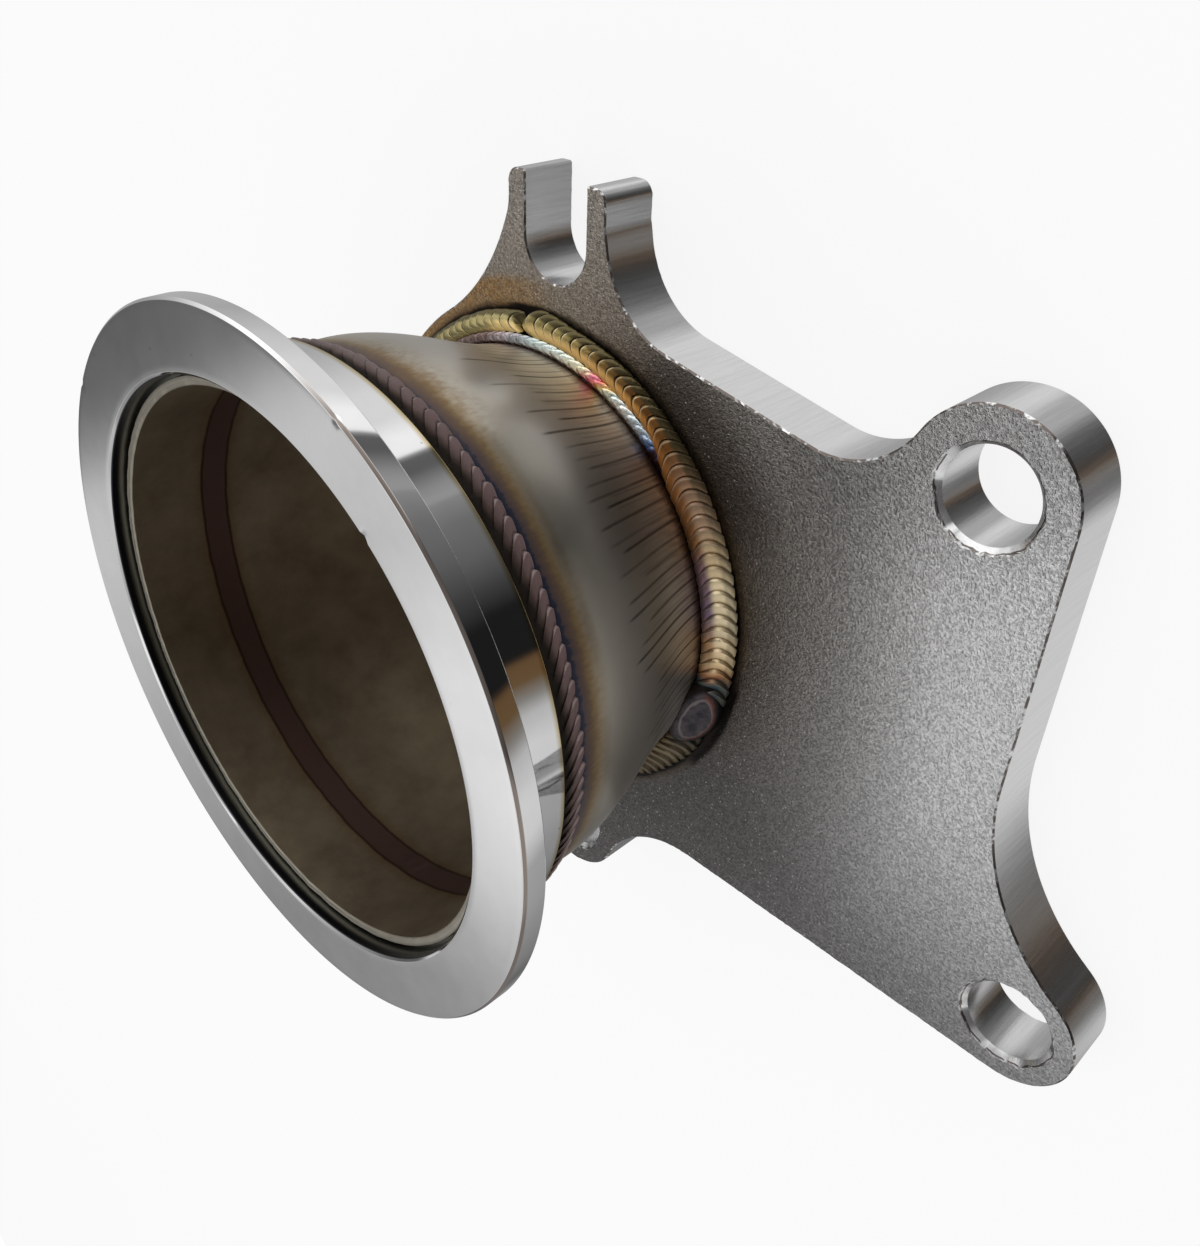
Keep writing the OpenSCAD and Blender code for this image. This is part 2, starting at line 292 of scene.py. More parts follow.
# Flange plate
plate = {
    "portEdge": 38.0,  # radius of the plain edge round the port
    "port": 30.55,
    "seat": 31.85,  # counterbore for the end of the cone
    "seatDepth": 3.0, "bolt": 5.5,
    "upperLug": (71.3, 15.7, 9.896),
    "lowerLug": (71.0, -52.0, 8.798),
    "innerLug": (-6.2, -47.6, 8.9),
    "slotLug": (13.3, 44.2, 9.3),
    "slotLean": 15.5,
    "slotEnd": (8.8, 7.7, 1.8),  # half width, length and corner radius of the square end
    "upperEdge": 39.95,  # distance of the straight upper edge from the axis
    "upperFall": 26.3, "edgeLean": 16.3,
    "hollows": {"slot": 13, "upper": 12, "right": 30, "bottom": 17, "inner": 20, "left": 32},
    "spacing": 0.45,  # between points of the outline
    "bevel": 0.8,  # round the front of the bolt holes
    "bevelRound": 0.12,
    "backBreak": 0.2,  # round their back
    "arris": 0.22,  # width of the worn edges
    "arrisWear": 0.45,  # how much of that width varies
}


def heading(turn):
    return Vector((cos(radians(turn)), sin(radians(turn))))


# Centre of a circle of radius r that touches two round lugs from outside
def hollowBetween(c1, r1, c2, r2, r):
    apart = (c2 - c1).length
    along = (c2 - c1) / apart
    x = (apart**2 + (r1 + r) ** 2 - (r2 + r) ** 2) / (2 * apart)
    rise = sqrt((r1 + r) ** 2 - x**2)
    return c1 + along * x + Vector((-along.y, along.x)) * rise


# Centre of a circle of radius r that touches a lug and the edge through p, with n pointing off it
def hollowOnEdge(p, n, c, rc, r, side=1):
    base, u = p + n * r, Vector((n.y, -n.x))
    reach = (c - base).dot(u) - side * sqrt((rc + r) ** 2 - (c - base).dot(n) ** 2)
    return base + u * reach


def arcPoints(c, r, a, b):
    count = max(2, int(abs(radians(b - a)) * r / 0.2))
    return [c + heading(a + (b - a) * i / count) * r for i in range(count + 1)]


def facing(a, b):
    return degrees(atan2(b.y - a.y, b.x - a.x))


def lugArc(c, r, a, b):
    start, end = facing(c, a), facing(c, b)
    return arcPoints(c, r, start, end - 360 if end > start else end)


def hollowArc(c, r, a, b):
    start, end = facing(c, a), facing(c, b)
    return arcPoints(c, r, start, end + 360 if end < start else end)


# Outline of the plate, clockwise from the slot lug
def plateOutline():
    lugs = [plate[key] for key in ("upperLug", "lowerLug", "innerLug", "slotLug")]
    upper, lower, inner, slot = [Vector(lug[:2]) for lug in lugs]
    upperR, lowerR, innerR, slotR = [lug[2] for lug in lugs]
    port, portR = Vector((0, 0)), plate["portEdge"]
    r = plate["hollows"]
    fall, lean = plate["upperFall"], plate["edgeLean"]
    topN = heading(90 - fall)
    topP = topN * plate["upperEdge"]
    slotHollow = hollowOnEdge(topP, topN, slot, slotR, r["slot"], -1)
    upperHollow = hollowOnEdge(topP, topN, upper, upperR, r["upper"])
    rightN = heading(-lean)
    rightP = upper + rightN * upperR
    rightHollow = hollowOnEdge(rightP, rightN, lower, lowerR, r["right"])
    bottomN = heading(-90 - lean)
    bottomP = lower + bottomN * lowerR
    bottomHollow = hollowOnEdge(bottomP, bottomN, inner, innerR, r["bottom"])
    innerHollow = hollowBetween(inner, innerR, port, portR, r["inner"])
    leftHollow = hollowBetween(port, portR, slot, slotR, r["left"])

    across, along = heading(-plate["slotLean"]), heading(90 - plate["slotLean"])
    width, length, corner = plate["slotEnd"]
    rise = sqrt(slotR**2 - width**2)

    def bySlot(x, y):
        return slot + across * x + along * y

    squareEnd = arcPoints(Vector((corner - width, length - corner)), corner, 180, 90)
    squareEnd += [Vector((-plate["bolt"], length))]
    squareEnd += arcPoints(port, plate["bolt"], 180, 360)
    squareEnd += [Vector((plate["bolt"], length))]
    squareEnd += arcPoints(Vector((width - corner, length - corner)), corner, 90, 0)

    path = lugArc(slot, slotR, leftHollow, bySlot(-width, rise))
    path += [bySlot(*p) for p in squareEnd]
    path += lugArc(slot, slotR, bySlot(width, rise), slotHollow)
    path += hollowArc(slotHollow, r["slot"], slot, slotHollow - topN)
    path += hollowArc(upperHollow, r["upper"], upperHollow - topN, upper)
    path += lugArc(upper, upperR, upperHollow, rightP)
    path += hollowArc(rightHollow, r["right"], rightHollow - rightN, lower)
    path += lugArc(lower, lowerR, rightHollow, bottomP)
    path += hollowArc(bottomHollow, r["bottom"], bottomHollow - bottomN, inner)
    path += lugArc(inner, innerR, bottomHollow, innerHollow)
    path += hollowArc(innerHollow, r["inner"], inner, port)
    path += lugArc(port, portR, innerHollow, leftHollow)
    path += hollowArc(leftHollow, r["left"], port, slot)
    return path


# Even points along a closed outline
def evenly(path, spacing):
    lengths = [(path[(i + 1) % len(path)] - p).length for i, p in enumerate(path)]
    total = sum(lengths)
    count = int(total / spacing)
    made, i, walked = [], 0, 0.0
    for k in range(count):
        target = total * k / count
        while walked + lengths[i] < target:
            walked += lengths[i]
            i += 1
        share = (target - walked) / max(lengths[i], 1e-9)
        made.append(path[i].lerp(path[(i + 1) % len(path)], share))
    return made


def circlePoints(x, y, r, spacing):
    count = int(2 * pi * r / spacing)
    return [Vector((x, y)) + heading(360 * i / count) * r for i in range(count)]


# Directions that point into the metal from each point of a clockwise outline
def inward(path):
    made = []
    for i in range(len(path)):
        run = (path[(i + 1) % len(path)] - path[i - 1]).normalized()
        made.append(Vector((run.y, -run.x)))
    return made


# Walls and worn edges round one outline. Returns the loops of edges at the bottom and the top.
def plateWall(bm, path, levels):
    into = inward(path)
    loops = []
    for level, inset in levels:
        loop = []
        for p, n in zip(path, into):
            wear = wobble(p.x * 1.3, p.y * 1.3, level) + 0.6 * wobble(p.x * 4, p.y * 4, level)
            worn = inset * (1 + plate["arrisWear"] * wear)
            place = p + n * worn
            loop.append(bm.verts.new(Vector((place.x, place.y, level)) * mm))
        loops.append(loop)
    count = len(path)
    for low, high in zip(loops, loops[1:]):
        for i in range(count):
            j = (i + 1) % count
            bm.faces.new((low[i], high[i], high[j], low[j]))
    return loops[0], loops[-1]


def loopEdges(bm, loop):
    return [bm.edges.get((loop[i - 1], loop[i])) for i in range(len(loop))]


def buildPlate(material):
    arris, bevel, back, spacing = [plate[key] for key in ("arris", "bevel", "backBreak", "spacing")]
    levels = [(0, arris), (arris, 0), (plateTop - arris, 0), (plateTop, arris)]
    holeLevels = [(0, back), (back, 0), (plateTop - bevel, 0)]
    holeLevels += [(plateTop - plate["bevelRound"], bevel * 0.8), (plateTop, bevel)]
    bm = bmesh.new()
    ends = [plateWall(bm, evenly(plateOutline(), spacing), levels)]
    for key in ("upperLug", "lowerLug", "innerLug"):
        x, y = plate[key][:2]
        ends.append(plateWall(bm, circlePoints(x, y, plate["bolt"], spacing), holeLevels))
    seatFloor = plateTop - plate["seatDepth"]
    port = circlePoints(0, 0, plate["port"], spacing * 1.5)
    seat = [p * plate["seat"] / plate["port"] for p in port]
    portLow, portHigh = plateWall(bm, port, [(0, arris), (arris, 0), (seatFloor, 0)])
    seatLow, seatHigh = plateWall(bm, seat, [(seatFloor, 0), (plateTop, 0)])
    count = len(port)
    for i in range(count):
        j = (i + 1) % count
        bm.faces.new((portHigh[i], seatLow[i], seatLow[j], portHigh[j]))
    ends.append((portLow, seatHigh))
    for side in (0, 1):
        edges = [edge for pair in ends for edge in loopEdges(bm, pair[side])]
        bmesh.ops.triangle_fill(bm, use_beauty=True, edges=edges)
    mesh = bpy.data.meshes.new("flangePlate")
    writeMesh(bm, mesh)
    return dress("flangePlate", mesh, material, 28)


# Transition cone
cone = {
    "tube": 38.1, "outlet": 31.75, "wall": 1.2, "straight": 19.4, "turns": 540, "easedRings": 30,
    "straightRings": 22,
    "endBreak": 0.18,  # rounding of the sawn end
    "raggedEnd": 0.1,  # and its unevenness
    "raggedDepth": 0.6,
    "weldBack": 2.0,  # from the neck down to the weld's trace on the inside
    "ridgeBack": 2.2,  # the same for the low ridge there
    "ridgeWidth": 1.6, "ridge": 0.05,
    "spotAngle": -95.0,  # the small round crater on the inside
    "spotHeight": 41.0, "spotRadius": 1.2, "spotRim": 0.4, "spotRise": 0.16,
}
easeTop = tubeTop - cone["straight"]


def coneRadius(z):
    return cone["outlet"] + (cone["tube"] - cone["outlet"]) * ease((z - plateTop) / (easeTop - plateTop))


def buildCone(material):
    eased, straight = cone["easedRings"], cone["straightRings"]
    heights = [spigotEnd, plateTop]
    heights += [plateTop + (easeTop - plateTop) * i / eased for i in range(1, eased + 1)]
    heights += [easeTop + (tubeTop - easeTop) * i / straight for i in range(1, straight)]
    top, tube, wall, edge = tubeTop, cone["tube"], cone["wall"], cone["endBreak"]
    outside = [(coneRadius(z), z) for z in heights]
    end = [
        (tube, top - edge), (tube - edge * 0.3, top - edge * 0.3), (tube - edge, top),
        (tube - wall / 2, top + 0.02), (tube - wall + edge, top), (tube - wall, top - edge),
    ]
    inside = [(r - wall, z) for r, z in reversed(outside)]
    spot = radians(cone["spotAngle"])

    def shape(r, z, angle):
        x, y = r * cos(angle), r * sin(angle)
        ragged = cone["raggedDepth"]
        if z > top - ragged:
            teeth = wobble(angle * 60, 0, 0, 3) * 0.6 + wobble(angle * 14, 2, 0, 4)
            z -= cone["raggedEnd"] * (0.55 + teeth) * ease((z - top + ragged) / ragged)
        if r < coneRadius(z) - wall / 2:
            ridge = exp(-(((z - neckEnd + cone["ridgeBack"]) / cone["ridgeWidth"]) ** 2))
            r -= ridge * cone["ridge"] * (0.6 + wobble(x * 0.5, y * 0.5, z * 0.8, 5))
            turned = (angle - spot + pi) % (2 * pi) - pi
            away = hypot(turned * (tube - wall), z - cone["spotHeight"])
            r -= cone["spotRise"] * exp(-(((away - cone["spotRadius"]) / cone["spotRim"]) ** 2))
        return r, z

    return lathe("transitionCone", outside + end + inside, cone["turns"], material, shape, 40)


# V-band flange
flange = {
    "rim": 47.25, "rimThick": 2.9, "taper": 20.0, "neck": 40.2, "socket": 38.2, "recess": 38.6,
    "recessDepth": 3.2, "chamfer": 0.4, "faceBreak": 0.35, "bevel": 0.4, "turns": 480,
    # angle, radius and depth of knocks on the face
    "nicks": [(36.5, 39.0, 0.5), (48.0, 47.2, 0.4), (128.0, 47.1, 0.35)],
    "nickReach": 0.9,
}


def buildFlange(material):
    f = flange
    rimBack = faceTop - f["rimThick"]
    taperEnd = rimBack - (f["rim"] - f["neck"]) * tan(radians(f["taper"]))
    mouth, outer = f["recess"] + f["chamfer"], f["rim"] - f["faceBreak"]
    step = faceTop - f["recessDepth"]
    # The extra rings on the face, which have no rounding, keep its shading flat
    corners = [
        (mouth + 1.4, faceTop, 0), (mouth + 0.9, faceTop, 0), (mouth, faceTop, 0.05),
        (f["recess"], faceTop - f["chamfer"], 0.05), (f["recess"], step, 0), (f["socket"], step, 0),
        (f["socket"], neckEnd, 0), (f["neck"] - f["bevel"], neckEnd, 0.05),
        (f["neck"], neckEnd + f["bevel"], 0.15), (f["neck"], taperEnd, 1.0), (f["rim"], rimBack, 0.15),
        (f["rim"], faceTop - f["faceBreak"], 0.1), (outer, faceTop, 0.1), (outer - 0.8, faceTop, 0),
        (outer - 1.3, faceTop, 0),
    ]

    def shape(r, z, angle):
        for at, radius, depth in f["nicks"]:
            away = hypot((degrees(angle) - at + 180) % 360 - 180, (r - radius) * 1.5)
            if z > faceTop - 0.5 and away < f["nickReach"]:
                z -= depth * (1 - away / f["nickReach"]) * 0.6
        return r, z

    return lathe("vBandFlange", roundCorners(corners), f["turns"], material, shape, 24)


# Weld runs: a Geometry Nodes tree sweeps a bead of overlapping ripples round the tube axis.
# crown gives the height of the bead's face across its width, with 0.5 as the line from toe to toe.
def weldTree(name, crown):
    tree = bpy.data.node_groups.new(name, "GeometryNodeTree")
    tree.is_modifier = True
    # Toes A and B and the root behind them have a radius R and a height Z. The rest is in millimetres,
    # degrees or beads from the start.
    sizes = (
        "start sweep beads toeAR toeAZ toeBR toeBZ rootR rootZ swell ripple lead scallopR scallopZ centre "
        "holdB uneven seed startBlend endBlend startBulge closed spreadFrom spreadTo spreadR spreadZ"
    )
    sockets = {"rings": "Int", "sectionPoints": "Int"} | dict.fromkeys(sizes.split(), "Float")
    for label, kind in (sockets | {"material": "Material"}).items():
        tree.interface.new_socket(label, in_out="INPUT", socket_type="NodeSocket" + kind)
    tree.interface.new_socket("Geometry", in_out="OUTPUT", socket_type="NodeSocketGeometry")
    g = Graph(tree)
    source = tree.nodes.new("NodeGroupInput")
    v = SimpleNamespace(**{output.name: Val(g, output) for output in source.outputs if output.name})

    gridInputs = {"Size X": 1.0, "Size Y": 1.0, "Vertices X": v.rings, "Vertices Y": v.sectionPoints}
    grid = g.node("GeometryNodeMeshGrid", None, gridInputs)
    x, y, _ = g.split(g.node("GeometryNodeInputPosition"))
    along, around = x + 0.5, y + 0.5

    # The first part of the section is the face of the bead, from toe A to toe B
    faceShare = 0.8
    face = g.least(around / faceShare, 1.0)
    back = g.most((around - faceShare) / (1 - faceShare), 0.0)
    backOut = g.least(back * 2, 1.0)
    backIn = g.most(back * 2 - 1, 0.0)

    run = along * v.beads
    whole = g.maths("FLOOR", run + 0.0001)
    phase = g.most(run - whole, 0.0)
    bead = g.maths("FLOORED_MODULO", whole, v.beads)
    chance = g.chance(bead + v.seed)
    dome = g.fade(phase, 0.0, 0.22) * (1 - 0.85 * phase * phase)

    # Round ends where the run starts and stops
    startShare = g.least(run / v.startBlend, 1.0)
    endShare = g.least((v.beads - run) / v.endBlend, 1.0)
    startRound = g.maths("SQRT", 1.00001 - (1 - startShare) * (1 - startShare))
    endRound = g.maths("SQRT", 1.00001 - (1 - endShare) * (1 - endShare))
    full = g.most(startRound * endRound, v.closed)

    height = (g.node("ShaderNodeFloatCurve", {"curve": crown}, {"Value": face}) - 0.5) * 2
    lift = g.most(height, 0.0)
    ripple = v.ripple * (dome - 0.5) * (0.7 + 0.6 * chance) + v.uneven * (chance - 0.5)
    swell = v.swell * height + ripple * g.maths("POWER", lift, 0.7)
    bulge = v.startBulge * (1 - g.fade(run, 0.8, 5.0)) * face
    spread = g.fade(run, v.spreadFrom, v.spreadTo)
    toeR = v.toeAR + v.spreadR * spread
    toeZ = v.toeAZ + v.spreadZ * spread
    dr = v.toeBR - toeR
    dz = v.toeBZ - toeZ
    length = g.maths("SQRT", dr * dr + dz * dz)
    held = 1 - v.holdB * g.fade(face, 0.55, 0.9)
    widen = (dome - 0.45 + 0.5 * (chance - 0.5)) * (face - v.centre) * 2 * held
    faceR = toeR + dr * face + swell * (-1 * dz / length) + v.scallopR * widen + bulge
    faceZ = toeZ + dz * face + swell * (dr / length) + v.scallopZ * widen
    backR = faceR + (v.rootR - faceR) * backOut + (toeR - v.rootR) * backIn
    backZ = faceZ + (v.rootZ - faceZ) * backOut + (toeZ - v.rootZ) * backIn
    radius = v.rootR + (backR - v.rootR) * full
    up = v.rootZ + (backZ - v.rootZ) * full

    # The edges of each bead trail behind its crest
    bow = g.least(4 * (face - v.centre) * (face - v.centre), 1.0)
    bowA = g.least(4 * v.centre * v.centre, 1.0)
    trail = v.lead / v.beads * full * (bow * (1 - backOut) + bowA * backIn)
    angle = (v.start + v.sweep * (along + trail)) * (pi / 180)
    position = g.join(radius * g.maths("COSINE", angle) * mm, radius * g.maths("SINE", angle) * mm, up * mm)
    # valley and crest mark where the finishes paint shade and highlights on the ripples
    valley = 1 - g.fade(phase, 0.0, 0.16) + g.fade(phase, 0.86, 1.0)
    crest = g.fade(phase, 0.04, 0.12) * (1 - g.fade(phase, 0.14, 0.32))
    # Stored on the flat grid, because its places are lost when it is shaped
    for label, value in (("valley", valley), ("crest", crest), ("across", face), ("chance", chance)):
        inputs = {"Geometry": grid, "Name": label, "Value": value}
        grid = g.node("GeometryNodeStoreNamedAttribute", {"data_type": "FLOAT", "domain": "POINT"}, inputs)
    shaped = g.node("GeometryNodeSetPosition", None, {"Geometry": grid, "Position": position})
    joined = g.node("GeometryNodeMergeByDistance", None, {"Geometry": shaped, "Distance": 0.002 * mm})
    solid = g.node("GeometryNodeRealizeInstances", None, {"Geometry": joined})
    done = g.node("GeometryNodeSetMaterial", None, {"Geometry": solid, "Material": v.material})
    g.endWith("NodeGroupOutput", "Geometry", done)
    return tree


# One weld run as a plain mesh
def weldRun(name, tree, values, material):
    carrier = addObject(name + "Maker", bpy.data.meshes.new(name + "Maker"))
    modifier = carrier.modifiers.new("weldRun", "NODES")
    modifier.node_group = tree
    named = {item.name: item.identifier for item in tree.interface.items_tree if item.in_out == "INPUT"}
    for label, value in values.items():
        modifier[named[label]] = value
    modifier[named["material"]] = material
    carrier.update_tag()
    bpy.context.view_layer.update()
    evaluated = carrier.evaluated_get(bpy.context.evaluated_depsgraph_get())
    mesh = bpy.data.meshes.new_from_object(evaluated)
    carrier.modifiers.remove(modifier)
    bpy.data.objects.remove(carrier)
    bm = bmesh.new()
    bm.from_mesh(mesh)
    bmesh.ops.dissolve_degenerate(bm, dist=0.001 * mm, edges=bm.edges)
    writeMesh(bm, mesh)
    mesh.name = name
    return dress(name, mesh, material, 50)


# Beads over a length, with a number of rings for each
def beadInputs(length, pitch, rings):
    beads = round(length / pitch)
    return {"beads": float(beads), "rings": beads * rings + 1}


# Toes of a bead and the corner behind it, each as (radius, height)
def section(toeA, toeB, root):
    labels = ("toeAR", "toeAZ", "toeBR", "toeBZ", "rootR", "rootZ")
    return dict(zip(labels, (*toeA, *toeB, *root)))


# Values of a bead that goes all the way round
closedRun = {
    "start": 0.0, "sweep": -360.0, "startBlend": 1.0, "endBlend": 1.0, "startBulge": 0.0, "closed": 1.0,
    "holdB": 1.0, "spreadFrom": 0.0, "spreadTo": 1.0, "spreadR": 0.0, "spreadZ": 0.0,
}

# V-band weld
rope = {
    "leg": 4.2, "pitch": 2.1, "gap": 0.02, "neckToe": 39.2, "rings": 14,
    "crown": [
        (0, 0.5), (0.04, 0.68), (0.12, 0.865), (0.3, 0.98), (0.46, 0.93), (0.6, 0.74), (0.72, 0.465),
        (0.8, 0.3), (0.89, 0.295), (1, 0.5),
    ],
    # This bead runs from a low toe to a high one, so sizes below zero push it away from the tube
    "values": {
        "sectionPoints": 41, "swell": -0.75, "ripple": -0.4, "lead": 1.4, "scallopR": 0.0,
        "scallopZ": 0.8, "centre": 0.2, "uneven": -0.1, "seed": 11.0,
    },
}


def buildRope(material):
    tree = weldTree("ropeRun", rope["crown"])
    inner = cone["tube"] + rope["gap"]
    top = neckEnd - rope["gap"]
    values = beadInputs(2 * pi * cone["tube"], rope["pitch"], rope["rings"])
    values |= section((inner, neckEnd - rope["leg"]), (rope["neckToe"], top), (inner, top))
    return weldRun("vBandWeld", tree, closedRun | values | rope["values"], material)


# Plate weld: a root pass against the cone and three runs of cap over its outer edge
cap = {
    "rootWidth": 1.65, "rootHeight": 1.5, "rootLeg": 2.2,
    "rootRings": 8,  # for each bead
    "capWidth": 2.6, "capRings": 10, "pitch": 1.7, "gap": 0.02,
    "runs": {
        # start and end angle, blends, start bulge, seed and the beads between which it spreads to the cone
        "right": (82.0, -33.0, 1.6, 2.0, 0.7, 5.0, 14.0, 20.0),
        "lower": (-34.0, -149.8, 4.0, 1.2, 0.0, 27.0, -2.0, -1.0),
        "left": (210.0, 82.4, 1.2, 1.2, 0.0, 53.0, 90.0, 91.0),
    },
    "crown": [
        (0, 0.5), (0.08, 0.72), (0.22, 0.92), (0.4, 1.0), (0.62, 0.96), (0.82, 0.82), (0.94, 0.66),
        (1, 0.5),
    ],
    "values": {
        "sectionPoints": 31, "swell": 0.78, "ripple": 0.46, "lead": 0.9, "scallopR": 0.3,
        "scallopZ": 0.0, "centre": 0.5, "holdB": 0.0, "uneven": 0.22, "closed": 0.0,
        "spreadR": -1.3, "spreadZ": 0.85,
    },
    "rootCrown": [(0, 0.5), (0.15, 0.72), (0.4, 0.95), (0.6, 1.0), (0.85, 0.8), (1, 0.5)],
    "rootValues": {
        "sectionPoints": 17, "swell": 0.26, "ripple": 0.18, "lead": 0.8, "scallopR": 0.0,
        "scallopZ": 0.12, "centre": 0.5, "uneven": 0.08, "seed": 3.0,
    },
}
rootEdge = cone["outlet"] + cap["rootWidth"]
capToe = rootEdge + cap["capWidth"]


def buildCap(side, tree, material):
    start, end, *shape = cap["runs"][side]
    floor = plateTop + cap["gap"]
    labels = ("startBlend", "endBlend", "startBulge", "seed", "spreadFrom", "spreadTo")
    values = {"start": start, "sweep": end - start} | dict(zip(labels, shape))
    values |= beadInputs(radians(start - end) * (rootEdge + capToe) / 2, cap["pitch"], cap["capRings"])
    values |= section((rootEdge, plateTop + cap["rootHeight"]), (capToe, floor), (rootEdge, floor))
    name = "plateWeld" + side.capitalize()
    return weldRun(name, tree, values | cap["values"], material)


def buildRoot(material):
    tree = weldTree("rootRun", cap["rootCrown"])
    gap, legTop = cap["gap"], plateTop + cap["rootLeg"]
    values = beadInputs(2 * pi * rootEdge, cap["pitch"], cap["rootRings"])
    toeA, toeB = (coneRadius(legTop) + gap, legTop), (rootEdge, plateTop + cap["rootHeight"])
    values |= section(toeA, toeB, (cone["outlet"] + gap, plateTop + gap))
    return weldRun("plateRootWeld", tree, closedRun | values | cap["rootValues"], material)


# Crater where the right run stops: a dished oval mound laid on the slope of the weld
crater = {
    "angle": -34.5, "radius": 33.5,
    "height": 1.6,  # of its middle above the plate
    "long": 6.6, "wide": 3.4, "thick": 1.6, "slope": 42.0, "dish": 0.26, "dishReach": 0.55,
    "ripple": 0.035, "uneven": 0.06,
    "sunk": 0.3,  # how far its closed back reaches into the weld
    "rings": 22, "spokes": 72,
}


def buildCrater(material):
    c = crater
    slope = radians(c["slope"])

    # A place on the slope of the weld: along it, down it and above it
    def onSlope(along, down, rise):
        angle = radians(c["angle"]) + along / c["radius"]
        r = c["radius"] + down * cos(slope) + rise * sin(slope)
        height = plateTop + c["height"] - down * sin(slope) + rise * cos(slope)
        return Vector((r * cos(angle), r * sin(angle), height))

    points, faces, shares = [onSlope(0, 0, c["thick"] - c["dish"])], [], [0.0]
    for i in range(1, c["rings"] + 1):
        share = i / c["rings"]
        for j in range(c["spokes"]):
            turn = 2 * pi * j / c["spokes"]
            east, south = cos(turn), sin(turn)
            rise = c["thick"] * sqrt(max(0, 1 - share**2.6))
            rise -= c["dish"] * exp(-((share / c["dishReach"]) ** 4))
            rise += c["ripple"] * sin(share * 26) * share
            reach = share * (1 + c["uneven"] * wobble(east * 1.2, south * 1.2, 0, 8))
            points.append(onSlope(east * c["long"] * reach, south * c["wide"] * reach, rise))
            shares.append(share)
    for j in range(c["spokes"]):
        k = (j + 1) % c["spokes"]
        faces.append((0, 1 + k, 1 + j))
        for i in range(c["rings"] - 1):
            a, b = 1 + i * c["spokes"], 1 + (i + 1) * c["spokes"]
            faces.append((a + j, a + k, b + k, b + j))
    last = 1 + (c["rings"] - 1) * c["spokes"]
    points.append(onSlope(0, 0, -c["sunk"]))
    for j in range(c["spokes"]):
        faces.append((last + j, last + (j + 1) % c["spokes"], len(points) - 1))
    made = meshObject("plateWeldCrater", points, faces, material, 50)
    made.data.attributes.new("share", "FLOAT", "POINT").data.foreach_set("value", shares + [1.0])
    bm = bmesh.new()
    bm.from_mesh(made.data)
    writeMesh(bm, made.data)
    return made


